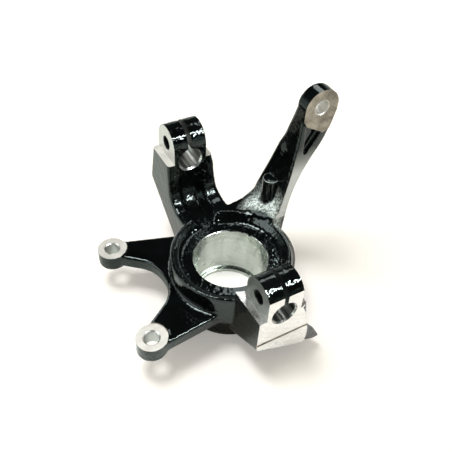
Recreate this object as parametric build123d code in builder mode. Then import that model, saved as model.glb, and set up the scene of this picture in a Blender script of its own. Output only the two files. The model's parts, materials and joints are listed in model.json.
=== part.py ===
from build123d import *
import os

os.makedirs("parts", exist_ok=True)

# bearing seat, heights counted from the outboard end of the barrel
hub_height = 45.0
bearing_bore_d = 55.0
bore_chamfer = 0.5
shoulder_step = 2.0
shoulder_h = 3.0
relief_depth = 1.0
relief_h = 1.6

# barrel, flange and the raised rim around the dished face
barrel_wall = 9.5
barrel_chamfer = 1.2
flange_thick = 24.0
flange_cone = 3.5
dish_land = 10.0
dish_slope = 4.5
rim_wall = 2.5
rim_rise = 6.5
rim_edge = 1.2
cast_edge = 1.4
root_bite = 1.5
barrel_bite = 4.0

# thicker rim wall on the steering arm side
bulge_x = 4.5
bulge_y = 3.0
bulge_over = 1.0
bulge_high = 3.0
bulge_thick = 19.0
bulge_edge = 2.6

# caliper ears
ear_drop = 10.4
ear_thick = 11.0
ear_wall = 5.6
ear_boss_h = 13.2
ear_spot_depth = 0.6
ear_hole_d = 10.6
ear_hole_chamfer = 0.8
ear_a_x = -70.7
ear_a_y = 57.0
ear_b_x = -76.9
ear_b_y = -30.4
ear_neck = 4.0
ear_gap_clear = 2.8
ear_gap_up = 28.0
ear_gap_low = 1.0
ear_gap_r = 26.0
ear_edge = 1.4

# pinch clamps for the two ball joint studs, the same section on both
stud_bore_d = 17.4
stud_chamfer = 1.05
clamp_wall = 4.3
shelf_w = 5.5
shelf_drop = 1.5
pinch_over = 1.3
pinch_hole_d = 10.2
slot_w = 3.2

# upper clamp and its channel post
up_front = 66.2
up_clamp_len = 28.0
up_bore_rise = 44.1
post_lean = 2.6
post_heel = 6.4
post_heel_rise = 10.0
post_knee_out = 14.5
post_root_z = 6.0
post_throat_r = 15.0
post_heel_r = 5.0
post_knee_r = 20.0
post_edge_r = 2.0
post_flare = 4.5
post_flare_top = 31.0
post_flare_low = 3.0
rib_w = 8.3
channel_wall = 4.6
channel_angle = 55.0
channel_depth = 6.7
channel_lean = 1.2
channel_throat_r = 16.0
channel_stop = 2.6

# lower clamp block
low_reach = 69.5
low_head_over = 1.2
low_head_r = 13.9
low_bore_rise = 15.9
low_flare = 3.5
low_root_flare = 1.0
low_foot_left = 15.0
low_foot_right = 31.0
low_root_left = 11.0
low_root_right = 6.0
low_edge = 1.4
groove_drop = 9.6
groove_w = 2.4
groove_depth = 0.9
facet_in = 2.0
wing_reach = 17.0
wing_drop = 34.5
wing_tip_w = 6.0
wing_setback = 0.9
wing_taper = 10.0

# steering arm with the tie rod eye
arm_front = 12.4
arm_back_low = 48.5
arm_back_mid = 36.2
arm_heel_y = 44.6
arm_lean_rise = 9.0
arm_base_drop = 13.0
arm_toe_in = 10.5
arm_bend_out = 2.7
arm_bend_rise = 16.8
arm_foot_out = 11.1
arm_foot_rise = 10.0
arm_foot_taper = 2.1
arm_root_x = 16.0
arm_waist_out = 3.6
arm_waist_drop = 37.0
arm_edge_r = 2.2
arm_front_edge = 1.3
eye_x = 70.4
eye_rise = 103.0
eye_wall = 8.0
eye_back = 22.0
tie_hole_d = 10.6
tie_chamfer = 0.6
tie_spot_wall = 5.5

# proud pad around the tie rod hole and the pocket below it
pad_proud = 0.9
pad_left_drop = 13.4
pad_right_drop = 21.0
pad_corner = 4.0
pocket_depth = 4.0
pocket_tip_drop = 42.0
pocket_r = 1.5

# steering stop stub
stub_x = 49.2
stub_y = 29.4
stub_r = 5.6
stub_rise = 36.0
stub_edge = 1.0

# radii and heights worked out from the sizes above
bore_r = bearing_bore_d / 2
barrel_r = bore_r + barrel_wall
dish_foot_r = bore_r + dish_land
dish_lip_r = dish_foot_r + dish_slope
flange_r = dish_lip_r + rim_wall
flange_under_z = hub_height - flange_thick
rim_z = hub_height + rim_rise
root_r = flange_r - root_bite
barrel_root_r = barrel_r - barrel_bite
ear_top = hub_height - ear_drop
ear_boss_r = ear_hole_d / 2 + ear_wall
stud_r = stud_bore_d / 2
clamp_half_w = stud_r + clamp_wall
block_half_w = clamp_half_w + shelf_w
pinch_rise = stud_r + pinch_over
up_back = up_front + up_clamp_len
up_mid = (up_front + up_back) / 2
up_head_r = up_clamp_len / 2
up_bore_z = hub_height + up_bore_rise
up_pinch_z = up_bore_z + pinch_rise
up_shelf_z = up_bore_z - shelf_drop
low_front = -low_reach
low_mid = low_front - low_head_over + low_head_r
low_bore_z = hub_height + low_bore_rise
low_pinch_z = low_bore_z + pinch_rise
low_shelf_z = low_bore_z - shelf_drop
groove_z = hub_height - groove_drop
eye_r = tie_hole_d / 2 + eye_wall
eye_z = hub_height + eye_rise

# turned hub: barrel, flange, raised rim and dished face
with BuildPart() as hub:
    with BuildSketch(Plane.XZ) as hub_section:
        with BuildLine():
            Polyline(
                (bore_r - shoulder_step - 1, 0),
                (barrel_r, 0),
                (barrel_r, flange_under_z - flange_cone),
                (flange_r, flange_under_z + flange_cone),
                (flange_r, rim_z),
                (dish_lip_r, rim_z),
                (dish_foot_r, hub_height),
                (bore_r - shoulder_step - 1, hub_height),
                close=True,
            )
        make_face()
        barrel_corners = hub_section.vertices().filter_by_position(Axis.X, barrel_r - 0.1, barrel_r + 0.1)
        chamfer(barrel_corners.sort_by(Axis.Y)[0], length=barrel_chamfer)
        wall_corners = hub_section.vertices().filter_by_position(Axis.X, flange_r - 0.1, flange_r + 0.1)
        chamfer(wall_corners, length=min(rim_edge, rim_wall * 0.5))
        foot = hub_section.vertices().filter_by_position(Axis.X, dish_foot_r - 0.1, dish_foot_r + 0.1)
        chamfer(foot, length=cast_edge)
    revolve(axis=Axis.Z)

# room inside the hub wall that everything growing out of it leaves free
with BuildPart() as hub_room:
    with BuildSketch(Plane.XZ):
        with BuildLine():
            Polyline(
                (0, -hub_height),
                (barrel_root_r, -hub_height),
                (barrel_root_r, flange_under_z + flange_cone + cast_edge * 2),
                (root_r, flange_under_z + flange_cone + cast_edge * 2),
                (root_r, eye_z),
                (0, eye_z),
                close=True,
            )
        make_face()
    revolve(axis=Axis.Z)

# thicker rim wall that runs into the arm
with BuildPart() as bulge:
    with BuildSketch(Plane.XY.offset(hub_height + bulge_high)):
        with Locations((bulge_x, bulge_y)):
            Circle(flange_r + bulge_over)
    extrude(amount=-bulge_thick)
    chamfer(bulge.edges().filter_by(GeomType.CIRCLE), length=min(bulge_edge, bulge_thick * 0.3))
    add(hub_room.part, mode=Mode.SUBTRACT)

# flat ears, one web with two round bosses
with BuildPart() as ears:
    with BuildSketch(Plane.XY.offset(ear_top - ear_thick)) as ear_plan:
        with BuildLine():
            Polyline(
                (-barrel_root_r / 2, flange_r + 2),
                (ear_a_x + ear_boss_r * 0.6, ear_a_y + ear_boss_r * 0.42),
                (ear_a_x - ear_neck, ear_a_y + ear_neck),
                (ear_a_x - ear_neck, ear_a_y - ear_neck),
                (ear_a_x + ear_neck / 4, ear_a_y - ear_boss_r * 0.96),
                (-flange_r - ear_gap_clear, ear_gap_up),
                (-flange_r - ear_gap_clear, -ear_gap_low),
                (ear_b_x + ear_neck / 2, ear_b_y + ear_boss_r * 0.96),
                (ear_b_x - ear_neck, ear_b_y + ear_neck),
                (ear_b_x - ear_neck, ear_b_y - ear_neck),
                (ear_b_x + ear_neck / 2, ear_b_y - ear_boss_r * 0.87),
                (-barrel_root_r / 2, -barrel_r + 3),
                (-barrel_root_r / 2, 0),
                close=True,
            )
        make_face()
        gap_x = -flange_r - ear_gap_clear
        gap = ear_plan.vertices().filter_by_position(Axis.X, gap_x - 0.1, gap_x + 0.1)
        fillet(gap, radius=ear_gap_r)
    extrude(amount=ear_thick)
    chamfer(ears.faces().filter_by(Axis.Z).edges(), length=min(ear_edge, ear_thick * 0.3))
    with BuildSketch(Plane.XY.offset(ear_top - ear_boss_h)):
        with Locations((ear_a_x, ear_a_y), (ear_b_x, ear_b_y)):
            Circle(ear_boss_r)
    extrude(amount=ear_boss_h)
    add(hub_room.part, mode=Mode.SUBTRACT)

# upper post: side outline with its throat and heel, then the front outline that flares at the root
with BuildPart() as post:
    with BuildSketch(Plane.YZ) as post_side:
        with BuildLine():
            Polyline(
                (barrel_root_r - 2, post_root_z),
                (flange_r + post_knee_out, flange_under_z),
                (up_back + post_heel, hub_height + post_heel_rise),
                (up_back, up_shelf_z),
                (up_front, up_shelf_z),
                (up_front - post_lean, rim_z),
                (barrel_root_r - 2, rim_z),
                close=True,
            )
        make_face()
        throat_y = up_front - post_lean
        throat = post_side.vertices().filter_by_position(Axis.X, throat_y - 0.1, throat_y + 0.1)
        fillet(throat, radius=post_throat_r)
        heel = post_side.vertices().sort_by(Axis.X)[-1]
        fillet(heel, radius=post_heel_r)
        knee = post_side.vertices().filter_by_position(Axis.Y, flange_under_z - 0.1, flange_under_z + 0.1)
        fillet(knee, radius=post_knee_r)
    extrude(amount=block_half_w + post_flare, both=True)
    with BuildSketch(Plane.XZ):
        flare_top = hub_height + post_flare_top
        flare_low = hub_height - post_flare_low
        flare_mid = (block_half_w + post_flare / 2, (flare_top + flare_low) / 2)
        with BuildLine():
            upper_arc = TangentArc((block_half_w, flare_top), flare_mid, tangent=(0, -1))
            lower_arc = TangentArc(flare_mid, (block_half_w + post_flare, flare_low), tangent=upper_arc % 1)
            Polyline(
                lower_arc @ 1,
                (block_half_w + post_flare, 0),
                (-block_half_w, 0),
                (-block_half_w, up_shelf_z),
                (block_half_w, up_shelf_z),
                upper_arc @ 0,
            )
        make_face()
    extrude(amount=-(up_back + post_heel), mode=Mode.INTERSECT)
    flanks = post.faces().filter_by(lambda face: abs(face.normal_at().X) > 0.8)
    long_edges = flanks.edges().filter_by(Axis.Y, reverse=True).filter_by_position(Axis.Y, barrel_root_r, 2 * up_back)
    fillet(long_edges, radius=post_edge_r)
    add(hub_room.part, mode=Mode.SUBTRACT)

# round head of the upper clamp
with BuildPart() as up_head:
    with BuildSketch(Plane.YZ):
        with BuildLine():
            Polyline(
                (up_front, up_pinch_z),
                (up_front, up_shelf_z - 2),
                (up_back, up_shelf_z - 2),
                (up_back, up_pinch_z),
            )
            ThreePointArc((up_back, up_pinch_z), (up_mid, up_pinch_z + up_head_r), (up_front, up_pinch_z))
        make_face()
    extrude(amount=clamp_half_w, both=True)

# channel that runs from the flange face up between the two ribs of the post
with BuildPart() as channel:
    with BuildSketch(Plane.YZ) as channel_side:
        channel_back = up_front + channel_depth
        channel_top = up_bore_z - stud_r - channel_stop
        with BuildLine():
            Polyline(
                (bore_r + bore_chamfer / 2, hub_height),
                (channel_back - channel_lean, hub_height),
                (channel_back, channel_top),
                (bore_r + bore_chamfer / 2, up_bore_z),
                close=True,
            )
        make_face()
        bend_y = channel_back - channel_lean
        bend = channel_side.vertices().filter_by_position(Axis.X, bend_y - 0.1, bend_y + 0.1)
        fillet(bend, radius=channel_throat_r)
    extrude(amount=block_half_w - rib_w - channel_wall)
    extrude(channel.faces().sort_by(Axis.X)[-1], amount=channel_wall, taper=channel_angle)
    mirror(about=Plane.YZ)

# lower post, deeper towards the barrel
with BuildPart() as low_post:
    with BuildSketch(Plane.XZ.offset(low_reach)):
        with BuildLine():
            Polyline(
                (-block_half_w, low_shelf_z),
                (-block_half_w, hub_height - low_foot_left),
                (block_half_w + low_flare, hub_height - low_foot_right),
                (block_half_w + low_flare, groove_z),
                (block_half_w, low_shelf_z),
                close=True,
            )
        make_face()
    with BuildSketch(Plane.XZ.offset(barrel_root_r)):
        with BuildLine():
            Polyline(
                (-block_half_w - low_root_flare, low_shelf_z),
                (-block_half_w - low_root_flare, low_root_left),
                (block_half_w + low_flare, low_root_right),
                (block_half_w + low_flare, groove_z),
                (block_half_w + low_root_flare, low_shelf_z),
                close=True,
            )
        make_face()
    loft(ruled=True)
    ends = low_post.faces().filter_by(Axis.Y).edges()
    along = low_post.edges().filter_by(lambda edge: edge not in ends and edge.center().Z < groove_z + 1)
    chamfer(along, length=low_edge)
    add(hub_room.part, mode=Mode.SUBTRACT)

# flank wing of the lower post
with BuildPart() as wing:
    wing_x = block_half_w + wing_reach
    wing_z = hub_height - wing_drop
    with BuildSketch(Plane.XZ.offset(low_reach - wing_setback)):
        with BuildLine():
            Polyline(
                (block_half_w - wing_tip_w, groove_z + groove_w),
                (block_half_w + low_flare, groove_z),
                (wing_x, wing_z),
                (wing_x - wing_tip_w, wing_z),
                (block_half_w - wing_tip_w, hub_height - low_foot_right + wing_tip_w),
                close=True,
            )
        make_face()
    with BuildSketch(Plane.XZ.offset(barrel_r - 1)):
        with BuildLine():
            Polyline(
                (block_half_w - wing_tip_w, groove_z + groove_w),
                (block_half_w + low_flare / 2, groove_z - groove_w),
                (wing_x - wing_taper, wing_z),
                (wing_x - wing_taper - wing_tip_w, wing_z - low_flare),
                (block_half_w - wing_tip_w, wing_z - low_flare),
                close=True,
            )
        make_face()
    loft(ruled=True)
    add(hub_room.part, mode=Mode.SUBTRACT)

# round head of the lower clamp
with BuildPart() as low_head:
    with BuildSketch(Plane.YZ):
        with BuildLine():
            Polyline(
                (low_mid - low_head_r, low_pinch_z),
                (low_mid - low_head_r, low_shelf_z - 2),
                (low_mid + low_head_r, low_shelf_z - 2),
                (low_mid + low_head_r, low_pinch_z),
            )
            ThreePointArc(
                (low_mid + low_head_r, low_pinch_z),
                (low_mid, low_pinch_z + low_head_r),
                (low_mid - low_head_r, low_pinch_z),
            )
        make_face()
    extrude(amount=clamp_half_w, both=True)

# steering arm: front outline, trimmed by its slanted back and by its plan at the root
with BuildPart() as arm:
    arm_base_z = hub_height - arm_base_drop
    bend_point = (flange_r + arm_bend_out, hub_height + arm_bend_rise)
    waist_point = (eye_x + arm_waist_out, eye_z - arm_waist_drop)
    foot_point = (flange_r + arm_foot_out, hub_height + arm_foot_rise)
    with BuildSketch(Plane.XZ.offset(-arm_front)):
        with BuildLine():
            toe = Line((arm_root_x, rim_z), (flange_r - arm_toe_in, rim_z))
            inner_bend = TangentArc(toe @ 1, bend_point, tangent=(1, 0))
            inner_rise = TangentArc(bend_point, (eye_x - eye_r, eye_z - eye_r * 0.75), tangent=inner_bend % 1)
            Line(inner_rise @ 1, (eye_x - eye_r, eye_z))
            ThreePointArc((eye_x - eye_r, eye_z), (eye_x, eye_z + eye_r), (eye_x + eye_r, eye_z))
            cheek = Line((eye_x + eye_r, eye_z), (eye_x + eye_r, eye_z - eye_r * 0.3))
            outer_neck = TangentArc(cheek @ 1, waist_point, tangent=(0, -1))
            outer_fall = TangentArc(waist_point, foot_point, tangent=outer_neck % 1)
            Polyline(
                outer_fall @ 1,
                (flange_r + arm_foot_out - arm_foot_taper, arm_base_z),
                (arm_root_x, arm_base_z),
                (arm_root_x, rim_z),
            )
        make_face()
    extrude(amount=-(arm_back_low - arm_front))
    with BuildSketch(Plane.YZ):
        back_mid_z = (hub_height + arm_lean_rise + eye_z) / 2
        with BuildLine():
            back_foot = Line((arm_back_low, arm_base_z), (arm_back_low, hub_height + arm_lean_rise))
            back_lean = ThreePointArc(back_foot @ 1, (arm_back_mid, back_mid_z), (eye_back, eye_z))
            Polyline(
                back_lean @ 1,
                (eye_back, eye_z + eye_r),
                (arm_front, eye_z + eye_r),
                (arm_front, arm_base_z),
                back_foot @ 0,
            )
        make_face()
    extrude(amount=eye_x + 2 * eye_r, mode=Mode.INTERSECT)
    with BuildSketch(Plane.XY.offset(arm_base_z)):
        with BuildLine():
            Polyline(
                (arm_root_x, arm_front),
                (arm_root_x, arm_heel_y),
                (flange_r, arm_back_low),
                (eye_x + 2 * eye_r, arm_back_low),
                (eye_x + 2 * eye_r, arm_front),
                close=True,
            )
        make_face()
    extrude(amount=2 * eye_z, mode=Mode.INTERSECT)
    front_edges = arm.faces().sort_by(Axis.Y)[0].edges()
    front_rim = front_edges.filter_by_position(Axis.Z, rim_z + 1, eye_z + 2 * eye_r)
    chamfer(front_rim, length=arm_front_edge)
    back_faces = arm.faces().filter_by(lambda face: face.normal_at().Y > 0.7)
    lean_rim = back_faces.sort_by(SortBy.AREA)[-1].edges().filter_by(GeomType.LINE, reverse=True)
    fillet(lean_rim.filter_by(lambda edge: edge.length > 1.5 * arm_edge_r), radius=arm_edge_r)
    add(hub_room.part, mode=Mode.SUBTRACT)

# proud machined pad around the tie rod hole
with BuildPart() as pad:
    with BuildSketch(Plane.XZ.offset(pad_proud - arm_front)):
        with BuildLine():
            Polyline(
                (eye_x - eye_r, eye_z),
                (eye_x - eye_r, eye_z - eye_r * 0.6),
                (eye_x - eye_r + pad_corner, eye_z - pad_left_drop),
                (eye_x + pad_corner, eye_z - pad_right_drop),
                (eye_x + eye_r - pad_corner, eye_z - pad_right_drop * 0.9),
                (eye_x + eye_r, eye_z - eye_r * 0.3),
                (eye_x + eye_r, eye_z),
            )
            ThreePointArc((eye_x + eye_r, eye_z), (eye_x, eye_z + eye_r), (eye_x - eye_r, eye_z))
        make_face()
    extrude(amount=-(pad_proud + arm_edge_r + 1))

# steering stop stub with a bevelled top
with BuildPart() as stub:
    with BuildSketch(Plane.XY.offset(hub_height)):
        with Locations((stub_x, stub_y)):
            Circle(stub_r)
    extrude(amount=stub_rise)
    chamfer(stub.faces().sort_by(Axis.Z)[-1].edges(), length=stub_edge)

with BuildPart() as knuckle:
    add(hub.part)
    add(bulge.part)
    add(ears.part)
    add(post.part)
    add(up_head.part)
    add(low_post.part)
    add(wing.part)
    add(low_head.part)
    add(arm.part)
    add(pad.part)
    add(stub.part)
    add(channel.part, mode=Mode.SUBTRACT)

    # bearing seat with its shoulder and relief
    with BuildSketch(Plane.XZ):
        with BuildLine():
            Polyline(
                (0, -1),
                (bore_r - shoulder_step, -1),
                (bore_r - shoulder_step, shoulder_h),
                (bore_r + relief_depth, shoulder_h),
                (bore_r + relief_depth, shoulder_h + relief_h),
                (bore_r, shoulder_h + relief_h),
                (bore_r, hub_height - bore_chamfer),
                (bore_r + bore_chamfer + 1, hub_height + 1),
                (0, hub_height + 1),
                close=True,
            )
        make_face()
    revolve(axis=Axis.Z, mode=Mode.SUBTRACT)

    # milled end face of the lower clamp with its step groove and side facet
    with BuildSketch(Plane.XZ.offset(low_reach)):
        with Locations((0, low_bore_z)):
            Rectangle(4 * block_half_w, 4 * low_reach)
    extrude(amount=low_head_r, mode=Mode.SUBTRACT)
    with BuildSketch(Plane.XZ.offset(low_reach)):
        with Locations((0, groove_z)):
            Rectangle(4 * block_half_w, groove_w)
        with BuildLine():
            Polyline(
                (clamp_half_w - facet_in, low_shelf_z),
                (block_half_w + 2 * low_flare, low_shelf_z),
                (block_half_w + low_flare + facet_in, groove_z),
                close=True,
            )
        make_face()
    extrude(amount=-groove_depth, mode=Mode.SUBTRACT)

    # stud bores and slits of both clamps
    with BuildSketch(Plane.XZ.offset(-up_front)):
        with Locations((0, up_bore_z)):
            Circle(stud_r)
        with Locations((0, up_bore_z + up_head_r + pinch_rise)):
            Rectangle(slot_w, 2 * (up_head_r + pinch_rise))
    extrude(amount=-(up_clamp_len + post_heel), mode=Mode.SUBTRACT)
    with BuildSketch(Plane.XZ.offset(low_reach)):
        with Locations((0, low_bore_z)):
            Circle(stud_r)
        with Locations((0, low_bore_z + low_head_r + pinch_rise)):
            Rectangle(slot_w, 2 * (low_head_r + pinch_rise))
    extrude(amount=-2 * low_head_r, mode=Mode.SUBTRACT)

    # lead-in chamfers of the stud bores, one at each clamp face
    inward = Vector(0, 1, 0)
    up_mouth = Plane(origin=(0, up_front, up_bore_z), x_dir=(1, 0, 0), z_dir=inward)
    up_exit = Plane(origin=(0, up_back, up_bore_z), x_dir=(1, 0, 0), z_dir=-inward)
    low_mouth = Plane(origin=(0, low_front, low_bore_z), x_dir=(1, 0, 0), z_dir=inward)
    for mouth in (up_mouth, up_exit, low_mouth):
        with BuildSketch(mouth):
            Circle(stud_r + stud_chamfer)
        extrude(amount=stud_chamfer, taper=45, mode=Mode.SUBTRACT)

    # pinch bolt holes across both clamps
    with BuildSketch(Plane.YZ):
        with Locations((up_mid, up_pinch_z), (low_mid, low_pinch_z)):
            Circle(pinch_hole_d / 2)
    extrude(amount=2 * block_half_w, both=True, mode=Mode.SUBTRACT)

    # caliper bolt holes with their spot faces
    with BuildSketch(Plane.XY.offset(ear_top - ear_spot_depth)):
        with Locations((ear_a_x, ear_a_y), (ear_b_x, ear_b_y)):
            Circle(ear_boss_r)
    extrude(amount=ear_thick, mode=Mode.SUBTRACT)
    with BuildSketch(Plane.XY.offset(ear_top)):
        with Locations((ear_a_x, ear_a_y), (ear_b_x, ear_b_y)):
            Circle(ear_hole_d / 2)
    extrude(amount=-2 * ear_boss_h, mode=Mode.SUBTRACT)
    hole_rims = knuckle.edges().filter_by(GeomType.CIRCLE)
    ear_rims = hole_rims.filter_by(lambda edge: abs(edge.radius - ear_hole_d / 2) < 0.01)
    chamfer(ear_rims, length=ear_hole_chamfer)

    # tie rod hole with a spot face behind it, and the pocket below its pad
    with BuildSketch(Plane.XZ.offset(pad_proud - arm_front)):
        with Locations((eye_x, eye_z)):
            Circle(tie_hole_d / 2)
    extrude(amount=-2 * (eye_back - arm_front), mode=Mode.SUBTRACT)
    with BuildSketch(Plane.XZ.offset(-eye_back)):
        with Locations((eye_x, eye_z)):
            Circle(tie_hole_d / 2 + tie_spot_wall)
    extrude(amount=-eye_r, mode=Mode.SUBTRACT)
    hole_rims = knuckle.edges().filter_by(GeomType.CIRCLE)
    tie_rims = hole_rims.filter_by(lambda edge: abs(edge.radius - tie_hole_d / 2) < 0.01)
    chamfer(tie_rims, length=tie_chamfer)
    with BuildSketch(Plane.XZ.offset(-arm_front)) as pocket:
        with BuildLine():
            Polyline(
                (eye_x - eye_r + pad_corner, eye_z - pad_left_drop),
                (eye_x + pad_corner, eye_z - pad_right_drop),
                (eye_x - eye_r + pad_corner * 1.3, eye_z - pocket_tip_drop),
                close=True,
            )
        make_face()
        fillet(pocket.vertices(), radius=pocket_r)
    extrude(amount=-pocket_depth, mode=Mode.SUBTRACT)

knuckle.part.label = "steering_knuckle"
export_step(knuckle.part, "parts/steering_knuckle.step")
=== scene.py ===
import json
import math

import bmesh
import bpy
import numpy as np
from mathutils import Matrix, Vector, noise


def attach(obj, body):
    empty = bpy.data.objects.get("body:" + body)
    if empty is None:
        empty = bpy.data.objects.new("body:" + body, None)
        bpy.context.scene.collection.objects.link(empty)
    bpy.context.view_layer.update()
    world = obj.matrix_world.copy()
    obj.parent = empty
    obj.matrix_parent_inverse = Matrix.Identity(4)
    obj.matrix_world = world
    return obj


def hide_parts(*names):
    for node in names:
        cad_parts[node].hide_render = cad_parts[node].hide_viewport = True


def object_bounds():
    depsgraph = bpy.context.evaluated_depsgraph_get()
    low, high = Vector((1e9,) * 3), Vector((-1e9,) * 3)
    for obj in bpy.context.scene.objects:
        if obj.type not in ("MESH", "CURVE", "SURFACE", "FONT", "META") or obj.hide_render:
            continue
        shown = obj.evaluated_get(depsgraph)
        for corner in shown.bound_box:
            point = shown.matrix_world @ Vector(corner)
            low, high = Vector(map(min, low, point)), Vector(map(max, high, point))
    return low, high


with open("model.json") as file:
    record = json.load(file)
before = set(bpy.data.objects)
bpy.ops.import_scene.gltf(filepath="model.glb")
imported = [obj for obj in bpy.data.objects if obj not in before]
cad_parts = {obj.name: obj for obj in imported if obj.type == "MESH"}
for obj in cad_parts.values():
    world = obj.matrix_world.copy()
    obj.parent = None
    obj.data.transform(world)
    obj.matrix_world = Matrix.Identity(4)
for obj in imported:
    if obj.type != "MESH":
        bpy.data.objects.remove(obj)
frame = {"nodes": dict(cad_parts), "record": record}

mm = 0.001
nodeName = "steering_knuckle"
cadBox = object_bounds()
mounts = {mount["name"]: mount for mount in frame["record"]["mounts"]}
print("frame loaded", [round(value / mm, 1) for corner in cadBox for value in corner])

# finishes, in the order of the casting's material slots
finishOrder = ["paintedCasting", "boredSeat", "milledFace", "spotFace", "cheekFace", "padFace", "studBore",
               "reamedHole", "slitFace"]
alongX, alongY, alongZ = (1, 0, 0), (0, 1, 0), (0, 0, 1)
undersideBelow = -0.9        # a face whose normal points lower than this is an underside


def mountPlace(name):
    return [value / mm for value in mounts[name]["pos_m"]]


def mountSize(name, size):
    return mounts[name]["dims"][size]


# helpers for meshes, with all sizes in millimetres
def newObject(name, data):
    made = bpy.data.objects.new(name, data)
    bpy.context.scene.collection.objects.link(made)
    return made


def axisFrame(centre, axis):
    turn = Vector(alongZ).rotation_difference(Vector(axis)).to_matrix().to_4x4()
    return Matrix.Translation(Vector(centre) * mm) @ turn


def addTurned(bm, centre, axis, profile, segments=64, pitch=4.0):
    # closed solid of revolution; profile is (height, radius) pairs, with rings about a pitch apart
    place = axisFrame(centre, axis)
    fine = [profile[0]]
    for (low, inner), (high, outer) in zip(profile, profile[1:]):
        steps = max(1, round(math.hypot(high - low, outer - inner) / pitch))
        for step in range(1, steps + 1):
            share = step / steps
            fine.append((low + (high - low) * share, inner + (outer - inner) * share))
    rings = []
    for height, radius in fine:
        ring = []
        for step in range(segments):
            angle = 2 * math.pi * step / segments
            point = Vector((radius * math.cos(angle), radius * math.sin(angle), height)) * mm
            ring.append(bm.verts.new(place @ point))
        rings.append(ring)
    for low, high in zip(rings, rings[1:]):
        for step in range(segments):
            after = (step + 1) % segments
            bm.faces.new((low[step], low[after], high[after], high[step]))
    bm.faces.new(list(reversed(rings[0])))
    bm.faces.new(rings[-1])


def addRod(bm, centre, axis, ends, radius):
    addTurned(bm, centre, axis, [(end, radius) for end in ends])


def addHole(bm, centre, axis, ends, radius, edge, past, segments=48):
    # the cutter flares at both ends, which chamfers the hole
    low, high = ends
    addTurned(bm, centre, axis, [
        (low - past, radius + edge + past), (low + edge, radius),
        (high - edge, radius), (high + past, radius + edge + past),
    ], segments)


def addBox(bm, low, high):
    lowest, highest = Vector(low) * mm, Vector(high) * mm
    place = Matrix.Translation((lowest + highest) / 2) @ Matrix.Diagonal((*(highest - lowest), 1))
    bmesh.ops.create_cube(bm, size=1, matrix=place)


def addPrism(bm, outline, nearY, farY):
    # outline is (x, z) points, extruded along Y
    near = [bm.verts.new(Vector((x, nearY, z)) * mm) for x, z in outline]
    far = [bm.verts.new(Vector((x, farY, z)) * mm) for x, z in outline]
    bm.faces.new(near)
    bm.faces.new(list(reversed(far)))
    for step in range(len(outline)):
        after = (step + 1) % len(outline)
        bm.faces.new((near[step], far[step], far[after], near[after]))


def addHull(bm, points):
    corners = [bm.verts.new(Vector(point) * mm) for point in points]
    hull = bmesh.ops.convex_hull(bm, input=corners)
    loose = [item for item in hull["geom_interior"] if isinstance(item, bmesh.types.BMVert)]
    bmesh.ops.delete(bm, geom=loose, context="VERTS")


def cutter(name, finish, add, *sizes, floorFinish=None):
    # a solid that carries the finish it leaves; its underside can leave another one
    bm = bmesh.new()
    add(bm, *sizes)
    bmesh.ops.recalc_face_normals(bm, faces=bm.faces)
    for face in bm.faces:
        underside = floorFinish and face.normal.z < undersideBelow
        face.material_index = finishOrder.index(floorFinish if underside else finish)
        face.smooth = True
    mesh = bpy.data.meshes.new(name)
    bm.to_mesh(mesh)
    bm.free()
    return newObject(name, mesh)


# the machined features; values that end in Past or Up are how far a cutter runs out
seat = {
    "radius": mountSize("bearing_bore", "r_mm"),
    "lipRadius": mountSize("axle_passage", "r_mm"),
    "lipHeight": mountSize("axle_passage", "length_mm"),
    "reliefDepth": 1.0,
    "reliefHeight": 1.6,
    "height": 45.0,
    "chamfer": 0.5,
    "flare": 1.0,
    "lowPast": 5.0,
    "topPast": 4.0,
    "segments": 128,
    "endMill": [(-100, -100, -10), (100, 110, 0)],
}
clamp = {
    "studRadius": mountSize("upper_ball_joint", "r_mm"),
    "studChamfer": 1.05,
    "studPast": 3.0,
    "studSegments": 64,
    "pinchRadius": mountSize("upper_pinch_bolt", "r_mm"),
    "pinchChamfer": 0.5,
    "pinchPast": 4.0,
    "cheek": 13.0,
    "cheekTo": 40.0,
    "cheekPast": (8.0, 12.0),
    "cheekUp": 50.0,
    "slit": 3.2,
    "slitPast": 8.0,
    "slitUp": 30.0,
    "shelfDrop": 1.5,
}
upperClamp = {
    "front": 66.2,
    "back": 94.2,
    "headRadius": 14.0,
    "stud": mountPlace("upper_ball_joint"),
    "pinch": mountPlace("upper_pinch_bolt"),
    "cheekFinish": "milledFace",
    "shelfFinish": "spotFace",
}
lowerClamp = {
    "front": -69.5,
    "back": -42.9,
    "headRadius": 13.9,
    "stud": mountPlace("lower_ball_joint"),
    "pinch": mountPlace("lower_pinch_bolt"),
    # painted shade: the lower cheeks take the darker cheek finish
    "cheekFinish": "cheekFace",
    "shelfFinish": "milledFace",
    "millX": (-40, 24),
    "millZ": (5, 100),
    "millPast": 10.0,
    "grooveZ": 35.4,
    "grooveWidth": 2.4,
    "grooveDepth": 0.9,
    "groovePast": 5.0,
    "facetPast": 2.0,
    "blockHalf": 18.5,
    "flare": 3.5,
}
ears = {
    "centres": [(-70.7, 57.0), (-76.9, -30.4)],
    "holeRadius": mountSize("caliper_bolts", "hole_r_mm"),
    "holePast": 3.0,
    "bossRadius": 10.9,
    "spotOver": 0.3,
    "spotPast": 8.0,
    "face": 34.0,
    "under": 21.4,
    "chamfer": 0.8,
}
stopStub = {
    "place": (48.7, 28.9, 0),
    "radius": 6.0,
    "foot": 56.0,
    "footFlare": 0.4,
    "top": 81.6,
    "bevel": 0.6,
    "bevelBreak": 0.3,
    "bevelFacing": (0.2, 0.95),
    # painted highlight: the bevel is bare to the left of this
    "wornTo": 51.6,
    "segments": 48,
    "pitch": 1.0,
}
tieEye = {
    "centre": mountPlace("tie_rod_hole"),
    "holeRadius": mountSize("tie_rod_hole", "r_mm"),
    "holePast": 3.0,
    "padFace": 11.5,
    "padHalf": 20.0,
    "padZ": (-30, 20),
    "back": 22.0,
    "spotRadius": 10.8,
    "spotPast": 10.0,
    "chamfer": 0.6,
}

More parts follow.
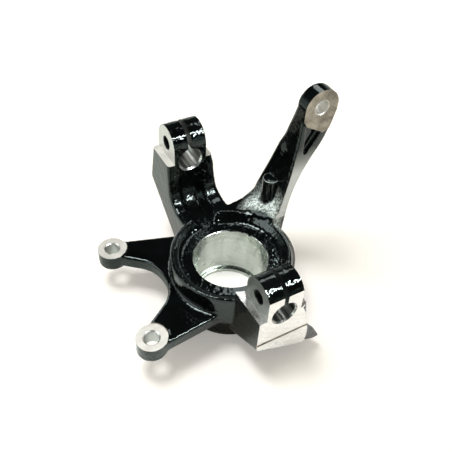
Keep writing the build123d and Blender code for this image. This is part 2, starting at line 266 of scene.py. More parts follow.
# raw casting: soft inner corners, a sandy skin, and stock on the faces that are machined later
casting = {
    "weld": 0.002,
    "flatFacing": 0.99,
    "flatWithin": 0.02,
    "stock": 1.6,
    "plugMargin": 0.9,
    "groovePlug": {"over": 0.2, "inset": 0.4, "deep": 3.0},
    "voxel": 0.85,
    "fillPasses": 9,
    "fillNormalsEvery": 4,
    "roundPasses": 2,
    "evenPasses": 8,
    "evenBack": 1.04,
    "share": 0.5,
    "crispLines": [((49.2, 29.4, 62), (49.2, 29.4, 90), 10), ((67, 12.4, 122), (67, 12.4, 126), 20),
                   ((27, -66, 18), (25, -66, 26), 15)],
    "crispShare": 0.06,
    "swells": [
        ((16.5, 65, 76), (16.5, 64.5, 66), 12, (2.0, 0, 0)),
        ((48.5, 43, 67), (55.3, 33, 108), 12, (-1.6, 0, 0)),
        ((36, -68, 16), (30, -68, 24), 14, (2.2, 0, 0)),
    ],
    "sandHeight": 0.07,
    "sandSize": 2.4,
    "sandFractal": (0.8, 2.0, 3),        # roughness, lacunarity and octaves
    "waveHeight": 0.12,
    "waveSize": 14.0,
    "armFoot": [
        (28, 36, 50), (36, 23, 50), (41, 15, 51), (47.5, 14, 61), (46.5, 23, 64.5), (47.5, 34, 60.5),
        (36, 45, 51), (50, 14, 48), (50, 44, 50),
    ],
    "sharpAngle": 32,
}
stockFaces = [        # axis, level and outward side of the machined flats
    ("y", lowerClamp["front"], -1),
    ("y", tieEye["padFace"], -1),
    ("z", ears["face"], 1),
    ("z", upperClamp["stud"][2] - clamp["shelfDrop"], 1),
    ("z", lowerClamp["stud"][2] - clamp["shelfDrop"], 1),
    ("x", clamp["cheek"], 1),
    ("x", -clamp["cheek"], -1),
    ("z", 0.0, -1),
]


def growStock(bm, axis, level, side):
    place = "xyz".index(axis)
    flat = [
        face for face in bm.faces
        if face.normal[place] * side > casting["flatFacing"]
        and all(abs(vert.co[place] / mm - level) < casting["flatWithin"] for vert in face.verts)
    ]
    grown = bmesh.ops.extrude_face_region(bm, geom=flat)
    shift = Vector((0, 0, 0))
    shift[place] = side * casting["stock"] * mm
    moved = [item for item in grown["geom"] if isinstance(item, bmesh.types.BMVert)]
    bmesh.ops.translate(bm, verts=moved, vec=shift)
    bmesh.ops.delete(bm, geom=flat, context="FACES_ONLY")
    return len(flat)


def plugHoles(bm):
    margin, stock = casting["plugMargin"], casting["stock"]
    addRod(bm, (0, 0, 0), alongZ, (-stock, seat["height"]), seat["radius"] + seat["chamfer"] + margin)
    for side in (upperClamp, lowerClamp):
        front, back, studZ = side["front"], side["back"], side["stud"][2]
        pinchY, pinchZ = side["pinch"][1:]
        near = 0.0 if side is upperClamp else -stock        # only the lower end face has stock
        radius = clamp["studRadius"] + clamp["studChamfer"] + margin
        addRod(bm, (0, front, studZ), alongY, (near, back - front), radius)
        reach = clamp["cheek"] + stock
        addRod(bm, (-reach, pinchY, pinchZ), alongX, (0, 2 * reach), clamp["pinchRadius"] + margin)
        half = clamp["slit"] / 2 + margin
        addRod(bm, (-half, pinchY, pinchZ), alongX, (0, 2 * half), side["headRadius"])
        addBox(bm, (-half, front, studZ), (half, back, pinchZ))
    for x, y in ears["centres"]:
        radius = ears["holeRadius"] + ears["chamfer"] + margin
        addRod(bm, (x, y, 0), alongZ, (ears["under"], ears["face"] + stock), radius)
    x, y, z = tieEye["centre"]
    radius = tieEye["holeRadius"] + tieEye["chamfer"] + margin
    addRod(bm, (x, 0, z), alongY, (tieEye["padFace"] - stock, tieEye["back"]), radius)
    plug, front, grooveZ = casting["groovePlug"], lowerClamp["front"], lowerClamp["grooveZ"]
    half = lowerClamp["grooveWidth"] / 2 + plug["over"]
    left, right = -lowerClamp["blockHalf"], lowerClamp["blockHalf"] + lowerClamp["flare"]
    addBox(bm, (left + plug["inset"], front - stock, grooveZ - half),
           (right - plug["inset"], front + plug["deep"], grooveZ + half))


def rawCasting():
    bm = bmesh.new()
    bm.from_mesh(frame["nodes"][nodeName].data)
    bmesh.ops.remove_doubles(bm, verts=bm.verts, dist=casting["weld"] * mm)
    bm.normal_update()
    for axis, level, side in stockFaces:
        print("stock on", axis, level, growStock(bm, axis, level, side))
        bm.normal_update()
    plugHoles(bm)
    addHull(bm, casting["armFoot"])
    bmesh.ops.triangulate(bm, faces=[face for face in bm.faces if len(face.verts) > 4])
    mesh = bpy.data.meshes.new("knuckleBlank")
    bm.to_mesh(mesh)
    bm.free()
    blank = newObject("knuckleBlank", mesh)
    remesh = blank.modifiers.new("sandMould", "REMESH")
    remesh.mode = "VOXEL"
    remesh.voxel_size = casting["voxel"] * mm
    remesh.adaptivity = 0
    depsgraph = bpy.context.evaluated_depsgraph_get()
    cast = bpy.data.meshes.new_from_object(blank.evaluated_get(depsgraph))
    bpy.data.objects.remove(blank)
    print("remeshed", len(cast.vertices), "points", len(cast.polygons), "faces")
    return cast


def fromLine(points, start, end):
    start, along = np.array(start, float), np.subtract(end, start, dtype=float)
    share = np.clip((points - start) @ along / (along @ along), 0, 1)
    return np.linalg.norm(points - start - share[:, None] * along, axis=1)


def softenCasting(mesh):
    count = len(mesh.vertices)
    points = np.zeros(count * 3)
    mesh.vertices.foreach_get("co", points)
    points = points.reshape(-1, 3)
    links = np.zeros(len(mesh.edges) * 2, np.int64)
    mesh.edges.foreach_get("vertices", links)
    links = links.reshape(-1, 2)
    degree = np.bincount(links.ravel(), minlength=count)

    def pull():        # from each point to the middle of its neighbours
        total = np.zeros_like(points)
        for place in range(3):
            total[:, place] = np.bincount(links[:, 0], points[links[:, 1], place], count)
            total[:, place] += np.bincount(links[:, 1], points[links[:, 0], place], count)
        return total / degree[:, None] - points

    def normals():
        mesh.vertices.foreach_set("co", points.ravel())
        mesh.update()
        found = np.zeros(count * 3)
        mesh.vertices.foreach_get("normal", found)
        return found.reshape(-1, 3)

    share = np.full(count, casting["share"])
    for start, end, radius in casting["crispLines"]:
        away = fromLine(points / mm, start, end) / radius
        softer = np.clip(away * 3 - 2, 0, 1)        # rises over the outer third of the radius
        share *= casting["crispShare"] + (1 - casting["crispShare"]) * softer
    for step in range(casting["fillPasses"]):        # inner corners fill up, outer edges keep their form
        if step % casting["fillNormalsEvery"] == 0:
            outward = normals()
        shift = pull()
        filling = (shift * outward).sum(1) > 0
        points += shift * np.where(filling, share, 0)[:, None]
    for step in range(casting["roundPasses"]):
        points += pull() * share[:, None]
    for step in range(casting["evenPasses"]):        # evens out ripples without shrinking the form
        points += pull() * share[:, None]
        points -= pull() * casting["evenBack"] * share[:, None]
    for start, end, radius, push in casting["swells"]:
        near = np.clip(1 - (fromLine(points / mm, start, end) / radius) ** 2, 0, 1) ** 2
        points += near[:, None] * np.array(push) * mm
    outward = normals()
    sandSize, waveSize = casting["sandSize"] * mm, casting["waveSize"] * mm
    rough = np.array([
        noise.fractal(Vector(point) / sandSize, *casting["sandFractal"]) * casting["sandHeight"]
        + noise.noise(Vector(point) / waveSize) * casting["waveHeight"]
        for point in points
    ])
    points += outward * rough[:, None] * mm
    mesh.vertices.foreach_set("co", points.ravel())
    mesh.update()
    for polygon in mesh.polygons:
        polygon.use_smooth = True
    print("casting softened")


# machining: each cutter leaves its own finish
def seatCutters():
    top, radius, lip = seat["height"], seat["radius"], seat["lipHeight"]
    relief, mouth = radius + seat["reliefDepth"], radius + seat["chamfer"] + seat["flare"]
    profile = [
        (-seat["lowPast"], seat["lipRadius"]),
        (lip, seat["lipRadius"]),
        (lip, relief),
        (lip + seat["reliefHeight"], relief),
        (lip + seat["reliefHeight"], radius),
        (top - seat["chamfer"], radius),
        (top + seat["flare"], mouth),
        (top + seat["topPast"], mouth),
    ]
    yield cutter("seatCutter", "boredSeat", addTurned, (0, 0, 0), alongZ, profile, seat["segments"])
    yield cutter("barrelEndCutter", "milledFace", addBox, *seat["endMill"])


def lowerFaceCutters():
    (left, right), (low, high), front = lowerClamp["millX"], lowerClamp["millZ"], lowerClamp["front"]
    yield cutter("lowerFaceCutter", "milledFace", addBox,
                 (left, front - lowerClamp["millPast"], low), (right, front, high))


def clampCutters(name, side):
    front, back, studZ = side["front"], side["back"], side["stud"][2]
    shelf = studZ - clamp["shelfDrop"]
    frontPast, backPast = clamp["cheekPast"]
    for hand in (-1, 1):
        left, right = sorted((hand * clamp["cheek"], hand * clamp["cheekTo"]))
        yield cutter(name + "CheekCutter", side["cheekFinish"], addBox, (left, front - frontPast, shelf),
                     (right, back + backPast, shelf + clamp["cheekUp"]), floorFinish=side["shelfFinish"])
    half, past = clamp["slit"] / 2, clamp["slitPast"]
    yield cutter(name + "SlitCutter", "slitFace", addBox,
                 (-half, front - past, studZ), (half, back + past, side["pinch"][2] + clamp["slitUp"]))
    yield cutter(name + "PinchCutter", "slitFace", addHole, side["pinch"], alongX,
                 (-clamp["cheek"], clamp["cheek"]), clamp["pinchRadius"], clamp["pinchChamfer"],
                 clamp["pinchPast"])
    yield cutter(name + "StudCutter", "studBore", addHole, (0, 0, studZ), alongY, (front, back),
                 clamp["studRadius"], clamp["studChamfer"], clamp["studPast"], clamp["studSegments"])


def grooveCutters():
    # the groove across the lower end face, and the slanted facet beside it
    (left, right), grooveZ = lowerClamp["millX"], lowerClamp["grooveZ"]
    half = lowerClamp["grooveWidth"] / 2
    near = lowerClamp["front"] - lowerClamp["groovePast"]
    far = lowerClamp["front"] + lowerClamp["grooveDepth"]
    # painted shade: the groove takes the darker pad finish so that it reads as a dark line across the end
    # face
    yield cutter("grooveCutter", "padFace", addBox,
                 (left, near, grooveZ - half), (right, far, grooveZ + half))
    shelf = lowerClamp["stud"][2] - clamp["shelfDrop"]
    block, flare, past = lowerClamp["blockHalf"], lowerClamp["flare"], lowerClamp["facetPast"]
    outline = [(clamp["cheek"] - past, shelf), (block + 2 * flare, shelf), (block + flare + past, grooveZ)]
    yield cutter("facetCutter", "milledFace", addPrism, outline, near, far)


def earCutters():
    face = ears["face"]
    for x, y in ears["centres"]:
        yield cutter("earSpotCutter", "spotFace", addRod, (x, y, 0), alongZ, (face, face + ears["spotPast"]),
                     ears["bossRadius"] + ears["spotOver"])
        yield cutter("earHoleCutter", "reamedHole", addHole, (x, y, 0), alongZ, (ears["under"], face),
                     ears["holeRadius"], ears["chamfer"], ears["holePast"])


def tieEyeCutters():
    x, y, z = tieEye["centre"]
    face, back, half = tieEye["padFace"], tieEye["back"], tieEye["padHalf"]
    low, high = tieEye["padZ"]
    yield cutter("padCutter", "padFace", addBox, (x - half, 0, z + low), (x + half, face, z + high))
    yield cutter("tieSpotCutter", "padFace", addRod, (x, 0, z), alongY, (back, back + tieEye["spotPast"]),
                 tieEye["spotRadius"])
    yield cutter("tieHoleCutter", "spotFace", addHole, (x, 0, z), alongY, (face, back),
                 tieEye["holeRadius"], tieEye["chamfer"], tieEye["holePast"])


def stubBoss():
    radius, top, bevel = stopStub["radius"], stopStub["top"], stopStub["bevel"]
    part = stopStub["bevelBreak"] * bevel
    profile = [(stopStub["foot"], radius + stopStub["footFlare"]), (top - bevel, radius),
               (top - part, radius - part), (top, radius - bevel)]
    stub = cutter("stopStub", "paintedCasting", addTurned, stopStub["place"], alongZ, profile,
                  stopStub["segments"], stopStub["pitch"])
    least, most = stopStub["bevelFacing"]
    for face in stub.data.polygons:        # painted highlight: the bevel gets the bare cheek finish on its left side, a light line in place of the highlight along the top's rim
        if least < face.normal.z < most and face.center.x < stopStub["wornTo"] * mm:
            face.material_index = finishOrder.index("cheekFace")
    return stub


def machine(piece):
    tools = [(stubBoss(), "UNION")]
    cuts = [seatCutters(), lowerFaceCutters(), clampCutters("upper", upperClamp),
            clampCutters("lower", lowerClamp), grooveCutters(), earCutters(), tieEyeCutters()]
    tools += [(tool, "DIFFERENCE") for group in cuts for tool in group]
    for tool, operation in tools:
        step = piece.modifiers.new(tool.name, "BOOLEAN")
        step.operation = operation
        step.solver = "MANIFOLD"
        step.object = tool
        depsgraph = bpy.context.evaluated_depsgraph_get()
        cut = bpy.data.meshes.new_from_object(piece.evaluated_get(depsgraph))
        old = piece.data
        piece.modifiers.clear()
        piece.data = cut
        bpy.data.meshes.remove(old)
        print("machined", tool.name, len(cut.polygons))
        bpy.data.objects.remove(tool)


piece = newObject("knuckleCasting", rawCasting())
softenCasting(piece.data)
for finishName in finishOrder:
    piece.data.materials.append(bpy.data.materials.new(finishName))
machine(piece)
piece.data.name = "knuckleCasting"
corners = np.zeros(len(piece.data.vertices) * 3)
piece.data.vertices.foreach_get("co", corners)        # the sandy skin stays inside the solid's box
piece.data.vertices.foreach_set("co", np.clip(corners.reshape(-1, 3), *cadBox).ravel())
piece.data.set_sharp_from_angle(angle=math.radians(casting["sharpAngle"]))
print("finishes", np.bincount([polygon.material_index for polygon in piece.data.polygons]).tolist())

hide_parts(nodeName)
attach(piece, "root")


# helpers for shader nodes
def nodeGroup(name, inputs, outputs):
    tree = bpy.data.node_groups.new(name, "ShaderNodeTree")
    for label, kind, value in inputs:
        socket = tree.interface.new_socket(label, in_out="INPUT", socket_type=kind)
        socket.default_value = value
    for label, kind in outputs:
        tree.interface.new_socket(label, in_out="OUTPUT", socket_type=kind)
    return tree, tree.nodes.new("NodeGroupInput"), tree.nodes.new("NodeGroupOutput")


def feed(tree, socket, value):
    # a socket takes another node's output, or a constant
    if isinstance(value, bpy.types.NodeSocket):
        tree.links.new(value, socket)
    else:
        socket.default_value = value


def math2(tree, operation, first, second=0.0):
    node = tree.nodes.new("ShaderNodeMath")
    node.operation = operation
    feed(tree, node.inputs[0], first)
    feed(tree, node.inputs[1], second)
    return node.outputs[0]


def shareOut(tree, share, first, second):
    first = math2(tree, "MULTIPLY", first, share)
    return math2(tree, "ADD", first, math2(tree, "MULTIPLY", second, 1 - share))


def spread(tree, value, fromLow, fromHigh, toLow, toHigh):
    node = tree.nodes.new("ShaderNodeMapRange")
    for place, item in enumerate((value, fromLow, fromHigh, toLow, toHigh)):
        feed(tree, node.inputs[place], item)
    return node.outputs[0]


def spreadOver(tree, value, reach, toLow, toHigh):
    near, far = reach        # in millimetres
    return spread(tree, value, near * mm, far * mm, toLow, toHigh)


def blend(tree, share, first, second):
    node = tree.nodes.new("ShaderNodeMix")
    node.data_type = "RGBA"
    feed(tree, node.inputs["Factor"], share)
    colours = [socket for socket in node.inputs if socket.type == "RGBA"]
    for socket, colour in zip(colours, (first, second)):
        feed(tree, socket, colour if isinstance(colour, bpy.types.NodeSocket) else (*colour, 1))
    return [socket for socket in node.outputs if socket.type == "RGBA"][0]


def cloud(tree, vector, scale, detail=2.0, rough=0.5):
    node = tree.nodes.new("ShaderNodeTexNoise")
    feed(tree, node.inputs["Vector"], vector)
    node.inputs["Scale"].default_value = scale
    node.inputs["Detail"].default_value = detail
    node.inputs["Roughness"].default_value = rough
    return node.outputs[0]


def splitAxes(tree, vector):
    node = tree.nodes.new("ShaderNodeSeparateXYZ")
    feed(tree, node.inputs[0], vector)
    return node.outputs


def stretched(tree, vector, factors):
    node = tree.nodes.new("ShaderNodeVectorMath")
    node.operation = "MULTIPLY"
    feed(tree, node.inputs[0], vector)
    node.inputs[1].default_value = factors
    return node.outputs["Vector"]


def distanceTo(tree, vector, point):
    node = tree.nodes.new("ShaderNodeVectorMath")
    node.operation = "DISTANCE"
    feed(tree, node.inputs[0], vector)
    node.inputs[1].default_value = Vector(point) * mm
    return node.outputs["Value"]


def streaks(tree, position, settings):
    # noise drawn out along one axis into streaks
    drawn = stretched(tree, position, settings["stretch"])
    return spread(tree, cloud(tree, drawn, 1), *settings["contrast"], 0, 1)


# effects that several finishes share, with scales per metre
castSkin = {
    "grainScale": 330,
    "peelScale": 140,
    "peelShare": 0.45,
    "patchScale": 45,
    "patchSpan": (0.3, 0.7),
}


def castSkinGroup(settings):
    # sand-cast skin under paint: pebbly grain, orange peel and broad tone patches
    tree, source, result = nodeGroup(
        "castSkin",
        [("Vector", "NodeSocketVector", (0, 0, 0)), ("Grain", "NodeSocketFloat", 1.0)],
        [("Height", "NodeSocketFloat"), ("Patch", "NodeSocketFloat")],
    )
    vector = source.outputs["Vector"]
    grain = cloud(tree, vector, settings["grainScale"], 1)
    peel = cloud(tree, vector, settings["peelScale"], 1)
    patch = cloud(tree, vector, settings["patchScale"])
    height = math2(tree, "ADD", grain, math2(tree, "MULTIPLY", peel, settings["peelShare"]))
    feed(tree, result.inputs["Height"], math2(tree, "MULTIPLY", height, source.outputs["Grain"]))
    feed(tree, result.inputs["Patch"], spread(tree, patch, *settings["patchSpan"], 0, 1))
    return tree


toolMarks = {
    "pitch": 0.0008,
    "driftScale": 60,
    "drift": 1.6,
    "bandScale": 0.35,
    "bandDetail": 3,
    "patchScale": 130,
    "patchDetail": 3,
    "span": (0.3, 0.7),
}


def toolMarksGroup(settings):
    # fine lines left by a cutter, as a function of a distance, with some unevenness
    tree, source, result = nodeGroup(
        "toolMarks",
        [("Vector", "NodeSocketVector", (0, 0, 0)), ("Distance", "NodeSocketFloat", 0.0),
         ("Pitch", "NodeSocketFloat", settings["pitch"])],
        [("Height", "NodeSocketFloat"), ("Tone", "NodeSocketFloat"), ("Patch", "NodeSocketFloat")],
    )
    vector = source.outputs["Vector"]
    turns = math2(tree, "DIVIDE", source.outputs["Distance"], source.outputs["Pitch"])
    drift = math2(tree, "MULTIPLY", cloud(tree, vector, settings["driftScale"], 1), settings["drift"])
    phase = math2(tree, "ADD", turns, drift)
    wave = math2(tree, "SINE", math2(tree, "MULTIPLY", phase, 2 * math.pi))
    band = tree.nodes.new("ShaderNodeTexNoise")
    band.noise_dimensions = "1D"
    feed(tree, band.inputs["W"], turns)
    band.inputs["Scale"].default_value = settings["bandScale"]
    band.inputs["Detail"].default_value = settings["bandDetail"]
    patch = cloud(tree, vector, settings["patchScale"], settings["patchDetail"])
    feed(tree, result.inputs["Height"], wave)
    feed(tree, result.inputs["Tone"], spread(tree, band.outputs[0], *settings["span"], 0, 1))
    feed(tree, result.inputs["Patch"], spread(tree, patch, *settings["span"], 0, 1))
    return tree


groups = {"castSkin": castSkinGroup(castSkin), "toolMarks": toolMarksGroup(toolMarks)}


def useGroup(tree, name, **values):
    node = tree.nodes.new("ShaderNodeGroup")
    node.node_tree = groups[name]
    for label, value in values.items():
        feed(tree, node.inputs[label], value)
    return node.outputs


def startFinish(name, settings):
    material = bpy.data.materials[name]
    material.use_nodes = True
    tree = material.node_tree
    shader = tree.nodes["Principled BSDF"]
    shader.inputs["Metallic"].default_value = settings["metallic"]
    shader.inputs["Roughness"].default_value = settings["roughness"][0]
    shader.inputs["Specular IOR Level"].default_value = settings.get("sheen", 0.5)
    shader.inputs["Specular Tint"].default_value = (*settings.get("sheenTint", (1, 1, 1)), 1)
    position = tree.nodes.new("ShaderNodeTexCoord").outputs["Object"]
    return tree, shader, position


def bumpFrom(tree, shader, height, depth):
    bump = tree.nodes.new("ShaderNodeBump")
    bump.inputs["Distance"].default_value = depth * mm
    bump.inputs["Strength"].default_value = 1.0
    feed(tree, bump.inputs["Height"], height)
    feed(tree, shader.inputs["Normal"], bump.outputs["Normal"])


def alreadyFed(shader, label):
    return shader.inputs[label].links[0].from_socket


paint = {
    "colours": [(0.0014, 0.0018, 0.002), (0.004, 0.0052, 0.0056)],
    "metallic": 0.0,
    "roughness": (0.05, 0.1),
    "sheen": 0.36,
    "sheenTint": (0.82, 1.0, 0.96),
    "coat": 0.05,
    "coatRoughness": 0.08,
    "grain": 1.0,
    "depth": 0.42,
    "armFrom": (32, 38),
    "armRise": (64, 84),
    "armGrain": 0.22,
    "sideSmooth": (0.75, 0.95, 0.35),
    "topSmooth": (0.93, 0.99, 0.55),
    "dullSpots": [((-4, 67, 52), (12, 16)), ((12.5, 60, 56), (5, 8))],
    "dullRise": 0.2,
    # painted highlight along convex edges
    "edge": (0.54, 0.62),
    "edgeColour": (0.16, 0.19, 0.19),
    "groundColour": (0.44, 0.46, 0.45),
    "groundMetal": 0.6,
    # painted reflection on the flat front of the arm: a grey, part-metal strip
    "groundBox": [(44, 11.5, 54), (72, 12.9, 120)],
    "groundFade": (94, 117),
    # painted highlight on the foot of the arm: pale specks in place of a lamp's reflection
    "dryColour": (0.8, 0.93, 0.92),
    "dryCentre": (43, 23, 57),
    "dryReach": (10, 24),
    "dryScale": 620,
    "dryDetail": (2, 0.7),
    "drySpan": (0.42, 0.58),
    "dryMask": (0.2, 1),
    "dryRough": 0.15,
    "stubReach": (7.0, 8.2),
    "rimReach": (45.0, 46.4),
    "innerSide": (49, 53),
}


def paintFinish(name, settings):
    tree, shader, position = startFinish(name, settings)
    place = splitAxes(tree, position)
    shape = tree.nodes.new("ShaderNodeNewGeometry")
    facing = splitAxes(tree, shape.outputs["Normal"])
    # the arm, upright sides and level tops have less grain
    onArm = spreadOver(tree, place["X"], settings["armFrom"], 0, 1)
    onArm = math2(tree, "MULTIPLY", onArm, spreadOver(tree, place["Z"], settings["armRise"], 0, 1))
    grain = spread(tree, onArm, 0, 1, settings["grain"], settings["grain"] * settings["armGrain"])
    sideways = math2(tree, "ABSOLUTE", facing["X"])
    for lean, key in ((sideways, "sideSmooth"), (facing["Z"], "topSmooth")):
        low, high, least = settings[key]
        grain = math2(tree, "MULTIPLY", grain, spread(tree, lean, low, high, 1, least))
    skin = useGroup(tree, "castSkin", Vector=position, Grain=grain)
    # painted highlight: convex edges, found by pointiness, are lightened towards a grey-teal in place of the
    # thin highlight lines along them
    edge = spread(tree, shape.outputs["Pointiness"], *settings["edge"], 0, 1)
    edge = math2(tree, "MULTIPLY", edge, skin["Patch"])
    colour = blend(tree, skin["Patch"], *settings["colours"])
    feed(tree, shader.inputs["Base Color"], blend(tree, edge, colour, settings["edgeColour"]))
    rough = spread(tree, skin["Patch"], 0, 1, *settings["roughness"])
    for centre, reach in settings["dullSpots"]:
        dull = spreadOver(tree, distanceTo(tree, position, centre), reach, settings["dullRise"], 0)
        rough = math2(tree, "MAXIMUM", rough, dull)
    feed(tree, shader.inputs["Roughness"], rough)
    shader.inputs["Coat Weight"].default_value = settings["coat"]
    shader.inputs["Coat Roughness"].default_value = settings["coatRoughness"]
    bumpFrom(tree, shader, skin["Height"], settings["depth"])
    return tree, shader, position


def footHighlight(settings, tree, shader, position):
    # painted highlight: pale grainy specks on the foot of the arm stand in for a lamp's reflection there,
    # clear of the stub and the rim; the roughness rises there too
    zone = spreadOver(tree, distanceTo(tree, position, settings["dryCentre"]), settings["dryReach"], 1, 0)
    flat = stretched(tree, position, (1, 1, 0))
    for centre, reach in ((stopStub["place"], settings["stubReach"]), ((0, 0, 0), settings["rimReach"])):
        zone = math2(tree, "MULTIPLY", zone, spreadOver(tree, distanceTo(tree, flat, centre), reach, 0, 1))
    inner = spreadOver(tree, splitAxes(tree, position)["X"], settings["innerSide"], 1, 0)
    zone = math2(tree, "MULTIPLY", zone, inner)
    specks = cloud(tree, position, settings["dryScale"], *settings["dryDetail"])
    mask = math2(tree, "MULTIPLY", zone, spread(tree, specks, *settings["drySpan"], *settings["dryMask"]))
    colour = blend(tree, mask, alreadyFed(shader, "Base Color"), settings["dryColour"])
    duller = math2(tree, "MULTIPLY", zone, settings["dryRough"])
    rough = math2(tree, "ADD", alreadyFed(shader, "Roughness"), duller)
    feed(tree, shader.inputs["Base Color"], colour)
    feed(tree, shader.inputs["Roughness"], rough)


def frontReflection(settings, tree, shader, position):
    # painted reflection: the flat front of the arm below the hollow gets a grey, part-metal strip in place
    # of the bright reflection there, fading out upwards
    place = splitAxes(tree, position)
    inside = spreadOver(tree, place["Z"], settings["groundFade"], 1, 0)
    for axis, low, high in zip("XYZ", *settings["groundBox"]):
        for level, operation in ((low, "GREATER_THAN"), (high, "LESS_THAN")):
            inside = math2(tree, "MULTIPLY", math2(tree, operation, place[axis], level * mm), inside)
    colour = blend(tree, inside, alreadyFed(shader, "Base Color"), settings["groundColour"])
    feed(tree, shader.inputs["Base Color"], colour)
    feed(tree, shader.inputs["Metallic"], math2(tree, "MULTIPLY", inside, settings["groundMetal"]))


paintParts = paintFinish("paintedCasting", paint)
footHighlight(paint, *paintParts)
frontReflection(paint, *paintParts)

# painted shade: the slits and pinch holes get a dull black paint finish so that these narrow cuts read dark
slitShade = dict(paint, grain=0.5, depth=0.1, roughness=(0.3, 0.45), coat=0.0)
paintFinish("slitFace", slitShade)

bored = {
    "colours": [(0.45, 0.495, 0.457), (0.73, 0.765, 0.72)],
    "metallic": 1.0,
    "roughness": (0.2, 0.3),
    "pitch": 0.9,
    "lineShare": 0.22,
    "stretch": (70, 70, 6),
    "contrast": (0.38, 0.62),
    "depth": 0.004,
    "spillColour": (0.006, 0.007, 0.008),
    "spillFrom": 43.6,
    "spillScale": 170,
    "spillAbove": (0.68, 0.56),
}


def boredFinish(name, settings):
    tree, shader, position = startFinish(name, settings)
    height = splitAxes(tree, position)["Z"]
    marks = useGroup(tree, "toolMarks", Vector=position, Distance=height, Pitch=settings["pitch"] * mm)
    tone = shareOut(tree, settings["lineShare"], marks["Tone"], streaks(tree, position, settings))
    bare = blend(tree, tone, *settings["colours"])
    # paint has spilled over the mouth of the bore
    mouth = (settings["spillFrom"], seat["height"])
    level = spreadOver(tree, height, mouth, *settings["spillAbove"])
    spill = math2(tree, "GREATER_THAN", cloud(tree, position, settings["spillScale"]), level)
    spill = math2(tree, "MULTIPLY", spill, math2(tree, "GREATER_THAN", height, settings["spillFrom"] * mm))
    feed(tree, shader.inputs["Base Color"], blend(tree, spill, bare, settings["spillColour"]))
    feed(tree, shader.inputs["Metallic"], math2(tree, "SUBTRACT", settings["metallic"], spill))
    feed(tree, shader.inputs["Roughness"], spread(tree, marks["Patch"], 0, 1, *settings["roughness"]))
    bumpFrom(tree, shader, marks["Height"], settings["depth"])


boredFinish("boredSeat", bored)

milled = {
    "colours": [(0.56, 0.56, 0.535), (0.68, 0.675, 0.65)],
    "metallic": 1.0,
    "roughness": (0.2, 0.3),
    "pitch": 1.1,
    "lineShare": 0.5,
    "depth": 0.006,
    "cutterCentre": (60, -20, 140),
}
spotFaced = {
    "colours": [(0.57, 0.57, 0.535), (0.74, 0.74, 0.705)],
    "metallic": 0.35,
    "roughness": (0.4, 0.52),
    "pitch": 1.0,
    "lineShare": 0.5,
    "depth": 0.012,
    "cutterCentre": (-70, 57, 150),
}
# painted shade: a darker, teal copy of the milled finish for the lower clamp's cheeks, in place of the
# darker reflection they show; the stop stub's bare bevel uses it too
cheekFaced = {
    "colours": [(0.15, 0.175, 0.165), (0.24, 0.27, 0.255)],
    "metallic": 0.6,
    "roughness": (0.3, 0.4),
    "pitch": 1.0,
    "lineShare": 0.5,
    "depth": 0.006,
    "cutterCentre": (-60, -57, 71),
}
padFaced = {
    "colours": [(0.11, 0.1, 0.076), (0.4, 0.37, 0.3)],
    "metallic": 0.7,
    "roughness": (0.4, 0.52),
    "pitch": 0.6,
    "lineShare": 0.15,
    "depth": 0.006,
    "cutterCentre": (120, 11, 200),
}
reamed = {
    "colours": [(0.38, 0.385, 0.365), (0.55, 0.555, 0.53)],
    "metallic": 1.0,
    "roughness": (0.34, 0.44),
    "pitch": 0.7,
    "lineShare": 0.5,
    "depth": 0.003,
    "cutterCentre": (0, -400, 80),
}


def milledFinish(name, settings):
    tree, shader, position = startFinish(name, settings)
    away = distanceTo(tree, position, settings["cutterCentre"])
    marks = useGroup(tree, "toolMarks", Vector=position, Distance=away, Pitch=settings["pitch"] * mm)
    tone = shareOut(tree, settings["lineShare"], marks["Tone"], marks["Patch"])
    feed(tree, shader.inputs["Base Color"], blend(tree, tone, *settings["colours"]))
    feed(tree, shader.inputs["Roughness"], spread(tree, marks["Patch"], 0, 1, *settings["roughness"]))
    bumpFrom(tree, shader, marks["Height"], settings["depth"])


milledFinish("milledFace", milled)
milledFinish("spotFace", spotFaced)
milledFinish("cheekFace", cheekFaced)
milledFinish("padFace", padFaced)
milledFinish("reamedHole", reamed)

# painted reflection: the stud bores run from dark to bright in streaks along the axis, in place of the
# highlight streaks on their walls
studBored = {
    "colours": [(0.13, 0.135, 0.13), (0.74, 0.75, 0.72)],
    "metallic": 1.0,
    "roughness": (0.3, 0.3),
    "stretch": (420, 9, 420),
    "contrast": (0.4, 0.66),
}


def streakFinish(name, settings):
    tree, shader, position = startFinish(name, settings)
    streak = streaks(tree, position, settings)
    feed(tree, shader.inputs["Base Color"], blend(tree, streak, *settings["colours"]))


streakFinish("studBore", studBored)
print("finishes set")

# floor, sky, lamps and camera, in metres
floorSet = {
    "size": 4.0,
    "colour": (0.88, 0.865, 0.84),
    "roughness": 0.9,
    "sheen": 0.1,
    "sideTint": (0.77, 0.86, 0.825),
    "sideReach": (-0.02, -0.05),
    "seenReach": (0.2, 0.7),
    "seenLift": (0.23, 1.0),
    "shade": (0.055, 0.085),
    "backReach": (-0.05, 0.06),
    "backLift": (0.6, 0.1),
}


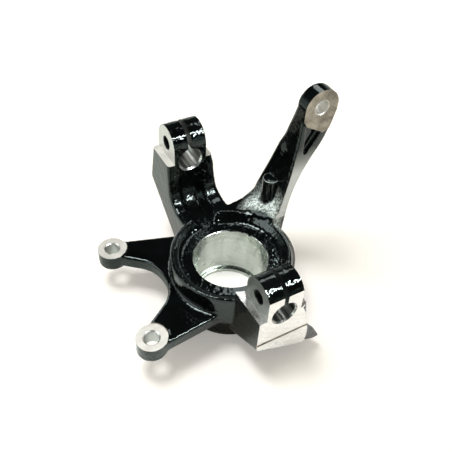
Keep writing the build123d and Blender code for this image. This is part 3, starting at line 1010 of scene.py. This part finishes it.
def paleFloor(settings):
    mesh = bpy.data.meshes.new("floor")
    bm = bmesh.new()
    bmesh.ops.create_grid(bm, x_segments=1, y_segments=1, size=settings["size"])
    bm.to_mesh(mesh)
    bm.free()
    material = bpy.data.materials.new("paleFloor")
    mesh.materials.append(material)
    material.use_nodes = True
    tree = material.node_tree
    shader = tree.nodes["Principled BSDF"]
    shader.inputs["Roughness"].default_value = settings["roughness"]
    shader.inputs["Specular IOR Level"].default_value = settings["sheen"]
    shader.inputs["Emission Strength"].default_value = 1.0
    rays = tree.nodes.new("ShaderNodeLightPath").outputs
    position = tree.nodes.new("ShaderNodeTexCoord").outputs["Object"]
    place = splitAxes(tree, position)
    away = distanceTo(tree, position, (0, 0, 0))
    # in the part's reflections the floor is tinted on its left and dark below the part
    leftward = spread(tree, place["X"], *settings["sideReach"], 0, 1)
    leftward = math2(tree, "MULTIPLY", rays["Is Glossy Ray"], leftward)
    feed(tree, shader.inputs["Base Color"], blend(tree, leftward, settings["colour"], settings["sideTint"]))
    bright = spread(tree, place["Y"], *settings["backReach"], *settings["backLift"])
    bright = math2(tree, "MULTIPLY", spread(tree, away, *settings["shade"], 0, 1), bright)
    mirrored = math2(tree, "MULTIPLY", rays["Is Glossy Ray"], bright)
    # to the camera it fades to white away from the part
    seen = spread(tree, away, *settings["seenReach"], *settings["seenLift"])
    seen = math2(tree, "MULTIPLY", rays["Is Camera Ray"], seen)
    lift = math2(tree, "ADD", seen, mirrored)
    glow = tree.nodes.new("ShaderNodeCombineColor")
    for channel in glow.inputs:
        feed(tree, channel, lift)
    feed(tree, shader.inputs["Emission Color"], glow.outputs[0])
    return newObject("floor", mesh)


floor = paleFloor(floorSet)

skySet = {
    "ambient": (0.54, 0.495, 0.41),
    "horizon": (0.8, 0.98, 0.92),
    "horizonTop": 0.35,
    "zenith": (0.006, 0.006, 0.006),
    "seen": (1, 1, 1),
}


def studioSky(settings):
    world = bpy.data.worlds.new("studio")
    bpy.context.scene.world = world
    world.use_nodes = True
    tree = world.node_tree
    rays = tree.nodes.new("ShaderNodeLightPath").outputs
    height = splitAxes(tree, tree.nodes.new("ShaderNodeTexCoord").outputs["Generated"])["Z"]
    fade = spread(tree, height, 0.0, settings["horizonTop"], 0, 1)
    mirror = blend(tree, fade, settings["horizon"], settings["zenith"])
    light = blend(tree, rays["Is Glossy Ray"], settings["ambient"], mirror)
    sky = blend(tree, rays["Is Camera Ray"], light, settings["seen"])
    feed(tree, tree.nodes["Background"].inputs["Color"], sky)


studioSky(skySet)

lampAim = (0, 0, 0.05)
lamps = {        # only keyBox lights the colours, and the others show as reflections
    "keyBox": {"toward": (-0.2, 0.18, 0.95), "distance": 1.0, "size": (0.34, 0.34), "power": 7.2},
    "stripBox": {"toward": (0.37, -0.53, 0.76), "distance": 1.0, "size": (0.6, 0.05), "power": 18},
    "leftBox": {"toward": (-0.93, 0.08, 0.36), "distance": 1.0, "size": (0.8, 0.45), "power": 5},
    "backBox": {"toward": (-0.2, 0.93, 0.34), "distance": 1.0, "size": (0.7, 0.3), "power": 3},
    "glintBox": {"toward": (0.40, 0.435, 0.807), "distance": 0.3, "size": (0.07, 0.07), "power": 0.07},
}
for name, settings in lamps.items():
    lamp = bpy.data.lights.new(name, "AREA")
    lamp.shape = "RECTANGLE"
    lamp.size, lamp.size_y = settings["size"]
    lamp.energy = settings["power"]
    holder = newObject(name, lamp)
    toward = Vector(settings["toward"]).normalized()
    holder.location = toward * settings["distance"] + Vector(lampAim)
    holder.rotation_mode = "QUATERNION"
    holder.rotation_quaternion = toward.to_track_quat("Z", "Y")
    holder.visible_diffuse = name == "keyBox"

photo = {        # the eye in millimetres, and the photo's right and up in the part's frame
    "eye": (-156.8, -245.9, 369.4),
    "right": (0.8743, -0.4832, 0.0458),
    "up": (0.3142, 0.6354, 0.7054),
    "focalPixels": 594.4,
    "framePixels": 452,
    "sensor": 36,
    "clipStart": 0.01,
}


def photoCamera(settings):
    data = bpy.data.cameras.new("photoCamera")
    camera = newObject("photoCamera", data)
    right = Vector(settings["right"]).normalized()
    up = Vector(settings["up"])
    up = (up - right * up.dot(right)).normalized()
    turn = Matrix((right, up, right.cross(up))).transposed().to_4x4()
    camera.matrix_world = Matrix.Translation(Vector(settings["eye"]) * mm) @ turn
    data.sensor_width = settings["sensor"]
    data.lens = settings["sensor"] * settings["focalPixels"] / settings["framePixels"]
    data.clip_start = settings["clipStart"]
    return camera


bpy.context.scene.camera = photoCamera(photo)
bpy.context.scene.view_settings.view_transform = "Standard"
print("floor, sky, lamps and camera set")
